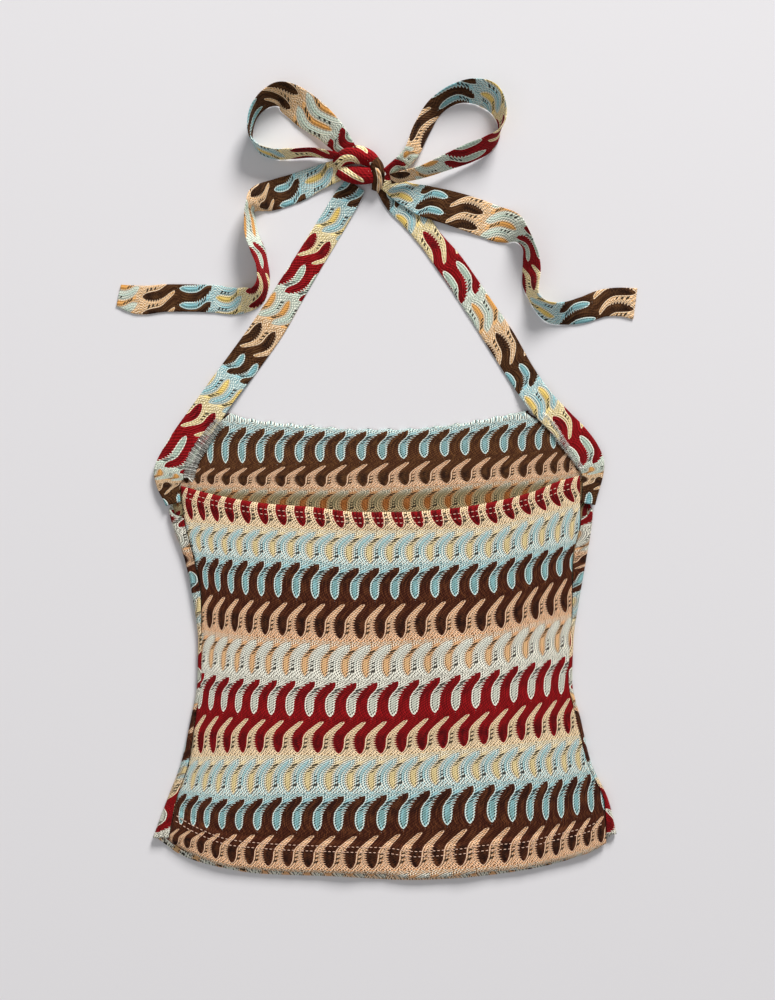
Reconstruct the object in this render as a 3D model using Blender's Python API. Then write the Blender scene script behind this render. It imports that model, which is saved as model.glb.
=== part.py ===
"""Knit halter top laid flat with its back panel uppermost.

Metres, +Z up.  The cloth rests on Z = 0, +Y runs from the hem to the bow and +X to the right,
and the origin is below the middle of the whole outline.  Tables are in millimetres.
"""
import bpy
import numpy as np

MM = 0.001

# Driving dimensions
WALL = 1.5 * MM             # one layer of knit
HEM_WALL = 2.3 * MM         # knit turned under and stitched
TIE_WALL = 1.8 * MM         # the doubled band of the ties
GAP = 0.3 * MM              # between layers
SEAM_GAP = 0.6 * MM         # between the edges that meet at a side seam
LINING_CLEAR = 1.5 * MM     # from the lining's edge to where the side folds begin
STRIP_LEAST = 0.5 * MM      # least flat part of the front's strip beside a seam
BACK_HEM_DEPTH = 26 * MM
BACK_TOP_DEPTH = 15 * MM

# Heights of the layers, from the table up
LINING_Z = WALL + GAP
BACK_Z = LINING_Z + WALL + GAP
FOLD_RADIUS = (BACK_Z + WALL) / 2
TIE_LIFT = BACK_Z

# The front's side folds form below the underarm, over this stretch of Y, in this many rows
WRAP_START = -21.5 * MM
WRAP_FULL = -31 * MM
WRAP_LEAST = 0.02
WRAP_ROWS = 6
TURN_SHARE = 0.6            # the half turn is whole here, and the strip grows after it

# Colours, linear
BROWN = (0.040, 0.016, 0.011, 1.0)
BLUE = (0.34, 0.60, 0.63, 1.0)
CREAM = (0.80, 0.66, 0.36, 1.0)
RED = (0.24, 0.008, 0.014, 1.0)
ORANGE = (0.72, 0.42, 0.20, 1.0)
MINT = (0.60, 0.70, 0.62, 1.0)

# The front: where its two side edges lie at each height
FRONT_SIDES = {
    "y": (53, 39.5, 23.5, 7.5, -5, -16.5, -32.5, -64.5, -96.5, -128.5, -160.5, -192.5, -224.5, -256.5, -286),
    "left": (-121, -137, -152, -166, -170, -168, -164.5, -153.5, -147, -143, -143.5, -149, -156, -168, -179),
    "right": (123, 145, 162, 174, 175, 173, 172, 167, 161.5, 157, 156, 163, 170.5, 185, 192),
}
# Its top edge and its hem, each as height against the share of the way across
FRONT_TOP = {
    "across": (0, 0.07, 0.24, 0.45, 0.57, 0.74, 0.89, 1),
    "y": (53, 47.5, 43, 39.5, 39.5, 43, 49, 55),
}
FRONT_HEM = {
    "across": (0, 0.06, 0.13, 0.23, 0.38, 0.56, 0.64, 0.79, 0.94, 1),
    "y": (-286, -301, -309, -315, -317, -320, -319, -313, -299, -283),
}
# The back: its side seams, its top edge, which dips in the middle, and its hem
BACK_SIDES = {
    "y": (3, -32.5, -64.5, -96.5, -128.5, -160.5, -192.5, -224.5, -256.5, -290),
    "left": (-157.5, -153.5, -145.5, -140, -140, -141.5, -145, -149.5, -160, -166.5),
    "right": (162, 162, 156, 155.5, 155, 154, 160.5, 169, 181, 183),
}
BACK_TOP = {
    "across": (0, 0.09, 0.21, 0.33, 0.45, 0.55, 0.68, 0.78, 0.88, 0.95, 1),
    "y": (-5, -12.5, -19, -22, -26, -26, -23, -18, -10, -1, 3),
}
BACK_HEM = {
    "across": (0, 0.05, 0.14, 0.29, 0.49, 0.56, 0.64, 0.72, 0.8, 0.88, 0.96, 1),
    "y": (-288, -298, -309, -313, -315, -318, -316.5, -313, -311, -305, -298, -290),
}
# Soft ridges of the back panel: middle, half length and half width, turn in degrees, and height
BACK_RIDGES = {
    "x": (-95, 60, 118, -20, 70, -120),
    "y": (-120, -150, -230, -285, -282, -262),
    "long": (70, 85, 60, 50, 45, 45),
    "wide": (16, 20, 17, 14, 13, 14),
    "turn": (62, 112, 70, 82, 98, 55),
    "high": (1.6, 1.8, 2.0, 1.6, 2.0, 1.7),
}
# Ribbons: the middle line, how far the lower edge is lifted off the table, the width across the
# band, and the roll about the line in degrees, where 0 is flat and 90 stands on edge
TIE_LEFT = {
    "x": (-14, -24, -39, -54, -70.5, -87, -105.5, -125, -138.5, -151, -160, -165.5, -166.5, -164, -162.5),
    "y": (240, 224.5, 199.5, 175, 148, 121, 95, 68.5, 49, 31.5, 17, 5.5, -4, -14, -19.5),
    "lift": (2.5, 0.5, 0, 0, 0, 0, 0.3, 3.6, 3.6, 3.6, 3.6, 3.6, 3.6, 3.6, 3.6),
    "width": (15, 21, 22, 22.5, 24, 26, 26, 25, 26, 26, 25, 22, 16.5, 13, 12),
    "roll": (0, 4, 0, 0, 0, 0, 0, 0, 0, 0, 0, 0, 0, 0, 0),
}
TIE_RIGHT = {
    "x": (4, 17, 30.5, 41.5, 59, 75.5, 85.5, 98.5, 116, 129.5, 147, 157, 165.5, 171, 172, 171, 169.5, 168.5),
    "y": (237, 221, 208, 193.5, 171.5, 147.5, 132.5, 112.5, 83.5, 63.5, 45, 34.5, 23, 12, 3.5, -5.5, -14, -19.5),
    "lift": (0.3, 0, 0, 0, 0, 0, 0, 0, 0.3, 3.6, 3.6, 3.6, 3.6, 3.6, 3.6, 3.6, 3.6, 3.6),
    "width": (14, 20, 21, 19, 21.5, 22, 22.5, 23.5, 22, 22, 22, 22.5, 23, 21, 17, 14, 12, 11.5),
    "roll": (0, 0, 0, 0, 0, 0, 0, 0, 0, 0, 0, 0, 0, 0, 0, 0, 0, 0),
}
LOOP_LEFT = {
    "x": (-21, -39, -55, -68, -77.5, -87, -97, -100.5, -100, -94, -82.5, -69, -52, -30),
    "y": (258, 279.5, 292.5, 302, 306, 303, 293, 282, 271.5, 263.5, 259, 259, 260, 257),
    "lift": (5, 2, 0.5, 0, 0, 0, 0, 0, 0, 0, 0, 0.5, 1, 2),
    "width": (16, 23, 27, 26, 24, 22, 20, 19, 18, 17, 17, 16, 15, 12),
    "roll": (150, 160, 162, 155, 135, 120, 108, 100, 94, 80, 72, 70, 70, 74),
}
LOOP_RIGHT = {
    "x": (8, 26, 36, 47, 63, 76, 88, 96, 99, 96, 88, 74.5, 55, 38, 8),
    "y": (242, 258, 279.5, 297, 307, 309, 306, 296.5, 284.5, 274, 266.5, 260, 252, 245, 238),
    "lift": (5.5, 4, 0.5, 0, 0, 0, 0, 0, 0, 0, 0, 1, 3, 4.9, 5.6),
    "width": (13, 16, 18, 18, 20, 23, 24, 22, 20, 20, 20, 20, 17, 14, 11),
    "roll": (45, 45, 42, 45, 48, 44, 38, 55, 75, 100, 122, 130, 130, 128, 125),
}
TAIL_LEFT = {
    "x": (-25, -48, -62.5, -80, -95, -101, -101, -99.5, -94.5, -91, -91, -95.5, -109, -130.5, -149.5, -169.5,
          -189.5, -206.5),
    "y": (249, 240.5, 234, 228, 222, 215, 206, 195, 182, 169, 155, 146.5, 142.5, 144.5, 145, 145, 143.5, 147),
    "lift": (3.5, 1, 0, 0, 0, 0, 0, 0, 0, 0, 0, 0, 0, 0, 0, 0, 0, 0),
    "width": (16, 20, 23, 24, 23, 20, 19, 20, 21, 20, 19, 20, 21, 22, 22, 22, 23, 18),
    "roll": (0, 0, 0, -6, -35, -72, -66, -60, -58, -64, -60, -48, -18, 0, 0, 0, 0, 0),
}
TAIL_RIGHT = {
    "x": (3, 23, 37.5, 56, 74.5, 93.5, 107, 115.5, 120.5, 122.5, 123, 122.5, 125, 131, 138.5, 150.5, 165, 181,
          194.5, 206.5),
    "y": (241, 228, 222.5, 217.5, 212, 205, 200, 194, 186, 177, 166, 155.5, 145, 137.5, 133, 132.5, 135.5, 141,
          142, 140.5),
    "lift": (2.4, 2.4, 2.4, 2.2, 0.8, 0, 0, 0, 0, 0, 0, 0, 0, 0, 0, 0, 0, 0, 0, 0),
    "width": (13, 19, 25, 27, 28, 28, 26, 22, 20, 20, 20, 20, 19, 19, 20, 20, 21, 22, 23, 25),
    "roll": (0, 0, 0, 0, 0, 0, 22, 58, 66, 55, 48, 54, 68, 58, 40, 30, 12, 0, 0, 0),
}
# The knot: two lobes of the tie pulled round the crossing
KNOT_MIDDLE = (-11.5 * MM, 246.5 * MM, 8.4 * MM)
KNOT_HALF = (22.5 * MM, 14.5 * MM, 8 * MM)
KNOT_TURN = -18.0
KNOT_CREASE = 0.16

# How finely the pieces are drawn
PANEL_COLUMNS = 22
PANEL_ROWS = 26
FOLD_STEPS = 6
RIBBON_STEP = 6 * MM
RIBBON_ACROSS = 5
TRIM_STEPS = 2001
KNOT_RINGS = 12
KNOT_SEGMENTS = 24


def slopes(at, value):
    """Slopes of a monotone cubic through the values: harmonic means, zero where the run turns."""
    run = np.diff(value) / np.diff(at)
    slope = np.zeros(len(value))
    slope[0] = run[0]
    slope[-1] = run[-1]
    both = run[:-1] * run[1:]
    safe = np.where(both > 0, run[:-1] + run[1:], 1.0)
    slope[1:-1] = np.where(both > 0, 2 * both / safe, 0.0)
    return slope


def smooth(x, at, value):
    """The smooth curve through (at, value), read at x."""
    at = np.asarray(at, float)
    value = np.asarray(value, float)
    if at[0] > at[-1]:
        at = at[::-1]
        value = value[::-1]
    slope = slopes(at, value)
    x = np.clip(x, at[0], at[-1])
    i = np.clip(np.searchsorted(at, x) - 1, 0, len(at) - 2)
    width = at[i + 1] - at[i]
    t = (x - at[i]) / width
    first = value[i] * (1 + 2 * t) * (1 - t) ** 2 + slope[i] * width * t * (1 - t) ** 2
    last = value[i + 1] * t ** 2 * (3 - 2 * t) + slope[i + 1] * width * t ** 2 * (t - 1)
    return first + last


def read(table, across, y):
    """One column of a table against another, in metres, at heights y or shares across."""
    key = "across" if "across" in table else "y"
    at = y / MM if key == "y" else y
    return smooth(at, table[key], table[across]) * MM


def new_object(name, vertices, faces, colour, roughness=0.9):
    """A named object of one closed mesh with a material of its own."""
    mesh = bpy.data.meshes.new(name)
    mesh.from_pydata([tuple(v) for v in vertices], [], faces)
    mesh.update()
    mesh.shade_smooth()
    mesh.set_sharp_from_angle(angle=0.8)
    material = bpy.data.materials.new(name + "_knit")
    material.use_nodes = True
    shader = material.node_tree.nodes["Principled BSDF"]
    shader.inputs["Base Color"].default_value = colour
    shader.inputs["Roughness"].default_value = roughness
    shader.inputs["Metallic"].default_value = 0.0
    mesh.materials.append(material)
    obj = bpy.data.objects.new(name, mesh)
    bpy.context.collection.objects.link(obj)
    return obj


def wall(name, upper, lower, colour):
    """A closed wall between two grids of points, upper facing up, joined by a rim."""
    rows, columns = upper.shape[:2]
    vertices = np.concatenate([upper.reshape(-1, 3), lower.reshape(-1, 3)])
    below = rows * columns
    faces = []
    for i in range(rows - 1):
        for j in range(columns - 1):
            a = i * columns + j
            b = a + columns
            faces.append((a, b, b + 1, a + 1))
            faces.append((below + a, below + a + 1, below + b + 1, below + b))
    rim = [(0, j) for j in range(columns)]
    rim += [(i, columns - 1) for i in range(1, rows)]
    rim += [(rows - 1, j) for j in range(columns - 2, -1, -1)]
    rim += [(i, 0) for i in range(rows - 2, 0, -1)]
    order = [i * columns + j for i, j in rim]
    for a, b in zip(order, order[1:] + order[:1]):
        faces.append((a, b, below + b, below + a))
    return new_object(name, vertices, faces, colour)


def panel_grid(top, hem, sides, inset=0.0):
    """Grid of a panel: each point's height runs from the top edge to the hem at its share across,
    and its place across is that share of the way between the two side edges at their own heights."""
    across = np.linspace(0, 1, PANEL_COLUMNS + 1)[None, :]
    down = np.linspace(0, 1, PANEL_ROWS + 1)[:, None]
    y = (1 - down) * read(top, "y", across) + down * read(hem, "y", across)
    left = read(sides, "left", y[:, :1]) + inset
    right = read(sides, "right", y[:, -1:]) - inset
    x = (1 - across) * left + across * right
    return x, y


def ridges(x, y):
    """Height of the soft ridges: the tallest of the long bell-shaped swells at each point."""
    height = np.zeros_like(x)
    table = BACK_RIDGES
    for row in zip(*(table[key] for key in ("x", "y", "long", "wide", "turn", "high"))):
        middle_x, middle_y, half_long, half_wide, turn, high = row
        angle = np.radians(turn)
        dx = x / MM - middle_x
        dy = y / MM - middle_y
        along = (dx * np.cos(angle) + dy * np.sin(angle)) / half_long
        aside = (dy * np.cos(angle) - dx * np.sin(angle)) / half_wide
        height = np.maximum(height, high * MM * np.exp(-along ** 2 - aside ** 2))
    return height


def ease(x):
    """Smooth step from 0 to 1."""
    x = np.clip(x, 0, 1)
    return x * x * (3 - 2 * x)


def build_front_lining():
    """Flat layer inside the front, clear of the side folds."""
    x, y = panel_grid(FRONT_TOP, FRONT_HEM, FRONT_SIDES, inset=FOLD_RADIUS + LINING_CLEAR)
    hem_clear = 4 * MM
    y = np.maximum(y, y[-1:] + hem_clear)
    low = np.full_like(x, LINING_Z)
    lower = np.stack([x, y, low], axis=2)
    upper = np.stack([x, y, low + WALL], axis=2)
    wall("front_lining", upper, lower, BROWN)


def build_front_outer():
    """The front's outer cloth: flat on the table, round both side folds and up to the side seams.

    Each row is one cross-section.  The wrap grows from nothing at the underarm to a half turn
    and then a flat strip that ends a gap short of the back panel's seam.
    """
    x, y = panel_grid(FRONT_TOP, FRONT_HEM, FRONT_SIDES, inset=FOLD_RADIUS)
    extra = np.linspace(WRAP_START, WRAP_FULL, WRAP_ROWS)
    rows = np.sort(np.concatenate([np.mean(y[:, [0, -1]], axis=1), extra]))[::-1]
    down = (rows[:, None] - rows[0]) / (rows[-1] - rows[0])
    across = np.linspace(0, 1, PANEL_COLUMNS + 1)[None, :]
    y = (1 - down) * read(FRONT_TOP, "y", across) + down * read(FRONT_HEM, "y", across)
    left = read(FRONT_SIDES, "left", y[:, :1])
    right = read(FRONT_SIDES, "right", y[:, -1:])
    x = (1 - across) * (left + FOLD_RADIUS) + across * (right - FOLD_RADIUS)
    grids = []
    for offset in (0.0, WALL):
        radius = FOLD_RADIUS - offset
        parts = []
        for side, fold, edge_y in ((-1, left, y[:, :1]), (1, right, y[:, -1:])):
            below = (WRAP_START - edge_y) / (WRAP_START - WRAP_FULL)
            wrap = WRAP_LEAST + (1 - WRAP_LEAST) * ease(below / TURN_SHARE)
            grown = ease((below - TURN_SHARE) / (1 - TURN_SHARE))
            turn = np.pi * wrap * np.linspace(1, 0, FOLD_STEPS + 1)[None, :-1]
            middle = fold - side * FOLD_RADIUS
            arc_x = middle + side * radius * np.sin(turn)
            arc_z = FOLD_RADIUS - radius * np.cos(turn)
            seam = read(BACK_SIDES, "left" if side < 0 else "right", edge_y)
            strip = np.maximum((middle - seam) * side - SEAM_GAP, STRIP_LEAST)
            strip = STRIP_LEAST + (strip - STRIP_LEAST) * grown
            end_turn = np.pi * wrap
            end_x = arc_x[:, :1] - side * strip * np.cos(np.pi - end_turn)
            end_z = arc_z[:, :1] + strip * np.sin(np.pi - end_turn)
            part_x = np.concatenate([end_x, arc_x], axis=1)
            part_z = np.concatenate([end_z, arc_z], axis=1)
            part_y = np.repeat(edge_y, part_x.shape[1], axis=1)
            part = np.stack([part_x, part_y, part_z], axis=2)
            parts.append(part if side < 0 else part[:, ::-1])
        flat = np.stack([x, y, np.full_like(x, offset)], axis=2)
        grids.append(np.concatenate([parts[0], flat, parts[1]], axis=1))
    outside, inside = grids
    wall("front_outer", inside, outside, ORANGE)


def build_back_panel():
    """Back panel on top: thicker where its top edge and its hem are turned under."""
    x, y = panel_grid(BACK_TOP, BACK_HEM, BACK_SIDES)
    least = FOLD_RADIUS + STRIP_LEAST + SEAM_GAP
    least_left = read(FRONT_SIDES, "left", y[:, :1]) + least
    least_right = read(FRONT_SIDES, "right", y[:, -1:]) - least
    left = np.maximum(x[:, :1], least_left)
    right = np.minimum(x[:, -1:], least_right)
    across = np.linspace(0, 1, PANEL_COLUMNS + 1)[None, :]
    x = (1 - across) * left + across * right
    from_hem = y - y[-1:]
    from_top = y[:1] - y
    hem = ease((BACK_HEM_DEPTH - from_hem) / (6 * MM))
    turned = ease((BACK_TOP_DEPTH - from_top) / (6 * MM))
    thick = WALL + (HEM_WALL - WALL) * np.maximum(hem, turned)
    low = BACK_Z + ridges(x, y) * ease((x - left) / (25 * MM)) * ease((right - x) / (25 * MM))
    lower = np.stack([x, y, low], axis=2)
    upper = np.stack([x, y, low + thick], axis=2)
    wall("back_panel", upper, lower, RED)


def clear_of_knot(points):
    """Which cross-sections have all their points outside the knot and a gap round it."""
    turn = np.radians(-KNOT_TURN)
    x, y, z = np.moveaxis(points - np.array(KNOT_MIDDLE), 2, 0)
    along = (x * np.cos(turn) - y * np.sin(turn)) / (KNOT_HALF[0] + GAP)
    aside = (x * np.sin(turn) + y * np.cos(turn)) / (KNOT_HALF[1] + GAP)
    high = z / (KNOT_HALF[2] + GAP)
    return (along ** 2 + aside ** 2 + high ** 2 > 1).all(axis=1)


def ribbon_sheet(table, at):
    """A band carried along its line: the cross direction is the line's left-hand side turned
    upwards by the roll, and the middle is as high as half the width stands on the lift.
    Returns the upper and lower points of the cross-sections at the lengths given."""
    x = np.array(table["x"], float) * MM
    y = np.array(table["y"], float) * MM
    knots = line_length(table)
    line_x = catmull(at, knots, x)
    line_y = catmull(at, knots, y)
    lift = smooth(at, knots, table["lift"]) * MM
    width = smooth(at, knots, table["width"]) * MM
    roll = np.radians(smooth(at, knots, table["roll"]))
    ahead = np.stack([np.gradient(line_x), np.gradient(line_y)], axis=1)
    ahead /= np.linalg.norm(ahead, axis=1)[:, None]
    side = np.stack([-ahead[:, 1] * np.cos(roll), ahead[:, 0] * np.cos(roll), np.sin(roll)], axis=1)
    up = np.stack([ahead[:, 1] * np.sin(roll), -ahead[:, 0] * np.sin(roll), np.cos(roll)], axis=1)
    half = TIE_WALL / 2
    middle_z = lift + width / 2 * np.abs(np.sin(roll)) + half * np.abs(np.cos(roll))
    middle = np.stack([line_x, line_y, middle_z], axis=1)
    share = np.linspace(-0.5, 0.5, RIBBON_ACROSS)[None, :, None]
    sheet = middle[:, None, :] + share * (width[:, None] * side)[:, None, :]
    return sheet + half * up[:, None, :], sheet - half * up[:, None, :]


def line_length(table):
    """Length along a ribbon's line at each row of its table."""
    steps = np.hypot(np.diff(table["x"]), np.diff(table["y"])) * MM
    return np.concatenate([[0], np.cumsum(steps)])


def build_ribbon(name, table, colour):
    """A ribbon of its table, cut off where it would run into the knot."""
    fine = np.linspace(0, line_length(table)[-1], TRIM_STEPS)
    clear = clear_of_knot(np.concatenate(ribbon_sheet(table, fine), axis=1))
    middle = TRIM_STEPS // 2
    blocked = np.flatnonzero(~clear)
    first = max(blocked[blocked < middle], default=-1) + 1
    last = min(blocked[blocked > middle], default=TRIM_STEPS) - 1
    count = int(round((fine[last] - fine[first]) / RIBBON_STEP)) + 1
    upper, lower = ribbon_sheet(table, np.linspace(fine[first], fine[last], count))
    wall(name, upper, lower, colour)


def catmull(x, at, value):
    """Catmull-Rom curve through (at, value), read at x."""
    slope = np.gradient(value, at)
    i = np.clip(np.searchsorted(at, x) - 1, 0, len(at) - 2)
    width = at[i + 1] - at[i]
    t = (x - at[i]) / width
    first = value[i] * (1 + 2 * t) * (1 - t) ** 2 + slope[i] * width * t * (1 - t) ** 2
    last = value[i + 1] * t ** 2 * (3 - 2 * t) + slope[i + 1] * width * t ** 2 * (t - 1)
    return first + last


def build_knot():
    """Closed lump of two rounded lobes: an ellipsoid drawn in along a crease round its length."""
    latitude = np.linspace(-np.pi / 2, np.pi / 2, KNOT_RINGS + 1)[1:-1]
    around = np.linspace(0, 2 * np.pi, KNOT_SEGMENTS, endpoint=False)
    lat, lon = np.meshgrid(latitude, around, indexing="ij")
    crease = 1 - KNOT_CREASE * np.exp(-(np.sin(lon) * np.cos(lat) / 0.22) ** 2) * np.maximum(np.sin(lat), 0)
    x = np.cos(lat) * np.cos(lon) * crease * KNOT_HALF[0]
    y = np.cos(lat) * np.sin(lon) * crease * KNOT_HALF[1]
    z = np.sin(lat) * crease * KNOT_HALF[2]
    turn = np.radians(KNOT_TURN)
    points = np.stack([x * np.cos(turn) - y * np.sin(turn), x * np.sin(turn) + y * np.cos(turn), z], axis=2)
    points = points.reshape(-1, 3)
    poles = np.array([[0, 0, -KNOT_HALF[2]], [0, 0, KNOT_HALF[2] * (1 - KNOT_CREASE)]])
    vertices = np.concatenate([points, poles]) + np.array(KNOT_MIDDLE)
    bottom = len(points)
    top = bottom + 1
    rings = KNOT_RINGS - 1
    faces = []
    for j in range(KNOT_SEGMENTS):
        k = (j + 1) % KNOT_SEGMENTS
        faces.append((bottom, k, j))
        for i in range(rings - 1):
            a = i * KNOT_SEGMENTS
            b = a + KNOT_SEGMENTS
            faces.append((a + j, a + k, b + k, b + j))
        last = (rings - 1) * KNOT_SEGMENTS
        faces.append((last + j, last + k, top))
    new_object("bow_knot", vertices, faces, RED)


for old in list(bpy.data.objects):
    bpy.data.objects.remove(old)
build_front_outer()
build_front_lining()
build_back_panel()
build_ribbon("tie_left", TIE_LEFT, CREAM)
build_ribbon("tie_right", TIE_RIGHT, CREAM)
build_knot()
build_ribbon("loop_left", LOOP_LEFT, BLUE)
build_ribbon("loop_right", LOOP_RIGHT, BLUE)
build_ribbon("tail_left", TAIL_LEFT, MINT)
build_ribbon("tail_right", TAIL_RIGHT, MINT)
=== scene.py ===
import bpy
import numpy as np
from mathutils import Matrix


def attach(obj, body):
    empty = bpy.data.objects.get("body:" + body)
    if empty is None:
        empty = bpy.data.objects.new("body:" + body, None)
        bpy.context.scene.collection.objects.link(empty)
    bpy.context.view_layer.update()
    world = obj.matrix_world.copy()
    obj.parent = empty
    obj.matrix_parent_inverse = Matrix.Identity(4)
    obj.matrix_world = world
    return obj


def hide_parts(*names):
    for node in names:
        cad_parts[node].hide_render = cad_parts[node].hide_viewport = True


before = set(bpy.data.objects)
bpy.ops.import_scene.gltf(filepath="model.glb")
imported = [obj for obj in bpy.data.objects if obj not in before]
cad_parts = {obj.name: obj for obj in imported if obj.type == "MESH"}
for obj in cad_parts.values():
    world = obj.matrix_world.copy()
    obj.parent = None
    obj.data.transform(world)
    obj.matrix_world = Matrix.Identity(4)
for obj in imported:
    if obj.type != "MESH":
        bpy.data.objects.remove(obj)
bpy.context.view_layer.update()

MM = 0.001

# Back panel, the layer on top: one cut of striped knit whose rows of long curved fingers interlock.
# Cotton yarn in six colours, with small eyelets in the pale ones. Its top and its hem are turned
# under and stitched, and its side seams join the front a little way in from the garment's folds.
BACK_SIDES = {
    "y": (3, -32.5, -64.5, -96.5, -128.5, -160.5, -192.5, -224.5, -256.5, -290),
    "left": (-157.5, -153.5, -145.5, -140, -140, -141.5, -145, -149.5, -160, -166.5),
    "right": (162, 162, 156, 155.5, 155, 154, 160.5, 169, 181, 183),
}
BACK_TOP = {
    "across": (0, 0.09, 0.21, 0.33, 0.45, 0.55, 0.68, 0.78, 0.88, 0.95, 1),
    "y": (-5, -12.5, -19, -22, -26, -26, -23, -18, -10, -1, 3),
}
BACK_HEM = {
    "across": (0, 0.05, 0.14, 0.29, 0.49, 0.56, 0.64, 0.72, 0.8, 0.88, 0.96, 1),
    "y": (-288, -298, -309, -313, -315, -318, -316.5, -313, -311, -305, -298, -290),
}
BACK_RIDGES = {
    "x": (-95, 60, 118, -20, 70, -120),
    "y": (-120, -150, -230, -285, -282, -262),
    "long": (70, 85, 60, 50, 45, 45),
    "wide": (16, 20, 17, 14, 13, 14),
    "turn": (62, 112, 70, 82, 98, 55),
    "high": (1.6, 1.8, 2.0, 1.6, 2.0, 1.7),
}
WALL = 1.5 * MM
HEM_WALL = 2.3 * MM
BACK_Z = 3.6 * MM
BACK_HEM_DEPTH = 26 * MM
BACK_TOP_DEPTH = 15 * MM
# How far the turned hems take to reach their thickness, and the groove above the lower one
HEM_RAMP = 2 * MM
TOP_RAMP = 4 * MM
GROOVE_DEEP = 0.45 * MM
GROOVE_WIDE = 1.1 * MM
RIDGE_RAMP = 25 * MM
BACK_GRID = (214, 222)
# Fingers across the back: their pitch and middle in mm, and how many more are crowded in towards
# each side seam, over which distance
FINGER_PITCH = 16.56
BACK_MIDDLE = -22.8
BACK_CROWD = {"left": 2.1, "right": 1.44, "wide": 36}
# The fingers lean where the cloth is turned under at the top
TOP_LEAN = 0.62
TOP_LEAN_END = 0.95
# The height of each row of fingers at seven places across, from the top edge to the hem
ROW_PLACES = (-158, -110, -62, -14, 82, 130, 178)
ROW_LINES = (
    (-6.4, -10.4, -13, -14.8, -12.4, -1.2, 12.6),
    (-35.2, -38.4, -40.8, -42.4, -40.2, -29.6, -15.4),
    (-58.2, -63.8, -65.6, -70.1, -66.3, -56.8, -46.4),
    (-87.2, -95, -98.4, -99.4, -95.2, -84.8, -70.4),
    (-118.8, -126, -129.4, -131.6, -125.2, -115, -103.2),
    (-150, -157.9, -160.2, -161.8, -153.1, -144.4, -135),
    (-185.2, -189.8, -192.4, -193.2, -185.8, -177.8, -170.4),
    (-223.8, -222.2, -221.4, -222.7, -215.4, -210.4, -203.2),
    (-249.4, -254.4, -252.2, -251.9, -243.2, -240.4, -232.8),
    (-278.4, -282.8, -283.6, -284, -277.6, -276.1, -268.2),
    (-294, -309.8, -312.8, -314.2, -311.4, -306.2, -292.6),
    (-324, -340, -343, -344, -341, -336, -323),
)
# How far the stretched cloth carries each row's fingers to the right at six places across, in mm
DRIFT_PLACES = (-130, -70, -10, 50, 110, 148)
ROW_DRIFTS = (
    (2.4, 2.8, 0.8, -1.2, -7.2, -12),
    (0, -1, -1.2, -1.2, -1.6, -1),
    (1.2, 0, 0, -0.4, -0.6, 0),
    (0.6, -1.2, -0.8, -0.4, 1.2, 0.8),
    (0, -0.8, 0.8, 2.4, 4.8, 6.4),
    (-3.2, -2.4, 0.8, 3.2, 5.6, 7.2),
    (-7, -4, -0.8, 0.8, 2.4, 1.8),
    (-4, -3.2, 0, 1.6, 3.2, 2.4),
    (-5.6, -2.8, 0, 4, 8.8, 3.6),
    (-5.6, -4.4, -1.6, 2.4, 8, 4),
)
# How far each row's fingers stand along from those of the first, in fingers
ROW_SHIFTS = (-0.41, 0.07, 0.27, 0.53, 0.76, 1.09, 1.55, 2.09, 2.57, 3.2)
# The two edges of a finger that hangs down, in fingers across, at shares of the way down its row
PALE_FINGER = {
    "down": (0, 0.07, 0.085, 0.123, 0.204, 0.285, 0.38, 0.496,
             0.61, 0.69, 0.77, 0.85, 0.917, 0.95, 1),
    "left": (0.34, 0.20, 0.21, 0.226, 0.20, 0.09, -0.10, -0.235,
             -0.26, -0.262, -0.24, -0.18, -0.10, 0, 0),
    "right": (1.34, 1.20, 1.05, 0.855, 0.62, 0.44, 0.31, 0.215,
              0.195, 0.195, 0.19, 0.165, 0.095, 0, 0),
}
DARK_FINGER = {
    "down": (0, 0.065, 0.08, 0.11, 0.156, 0.232, 0.308, 0.383,
             0.46, 0.535, 0.656, 0.762, 0.853, 0.91, 0.94, 1),
    "left": (0.24, 0.24, 0.26, 0.24, 0.176, 0.064, -0.08, -0.176,
             -0.24, -0.29, -0.29, -0.25, -0.175, -0.09, 0, 0),
    "right": (1.24, 1.24, 1.08, 0.99, 0.89, 0.72, 0.56, 0.42,
              0.325, 0.275, 0.26, 0.23, 0.165, 0.09, 0, 0),
}
# A finger's swell, and how wide the crease beside it is, in fingers
FINGER_PUFF = 0.42 * MM
CREASE = 0.13
# Cloth thins by this share towards its edges, and the swell of its fingers fades there
EDGE_THIN = 0.6
EDGE_ROUND = 1.2 * MM
EDGE_FADE = 2 * MM
# Where a standing finger's tip begins and a hanging one's ends, and a row's height in fingers
TIP_START = 0.07
TIP_END = 0.945
ROW_IN_FINGERS = 1.9
# The row lines are where the tips start, so rows are counted from a little above them
ROW_LEAD = 0.06
# Yarns in the order in which their stripes follow each other, with the edge of a finger, its
# middle, and the streaks of the marled yarn
YARNS = {
    "edge": ("#7a080c", "#f8e2b6", "#aad2d4", "#3e180a", "#ecb684", "#e8e4d4"),
    "middle": ("#500306", "#dcc68e", "#80a8a6", "#220c05", "#e4b884", "#c8c8b8"),
    "streak": ("#981014", "#eed6a0", "#98c8cc", "#64381e", "#e0a878", "#d4d6c4"),
}
# The pale fingers that stand up between dark ones are a little warmer
WARMTH = "#fff1e8"
# Yarns of the fine marks and the painted shade inside the eyelets, and how much of the colour
# below each of them covers
MARK_YARNS_AND_HOLE_SHADE = {"haze": "#e8f0e6", "outline": "#fff6e2", "seam": "#3c3222", "eyelet_shade": "#20180f"}
STREAK_COVER = 0.75
OUTLINE_COVER = {"one_pale": 0.5, "both_pale": 0.52}
EYELET_SHADE_COVER = 0.94
# Where a finger's deeper middle shows: from a depth below its edge, and between its tip and root,
# and how much of it a standing finger has beside a dark and beside a pale one
CORE_DEPTH = (0.06, 0.11)
CORE_TIP = (0.07, 0.13)
CORE_ROOT = (0.5, 0.64)
CORE_STANDING = (0.55, 0.25)
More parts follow.
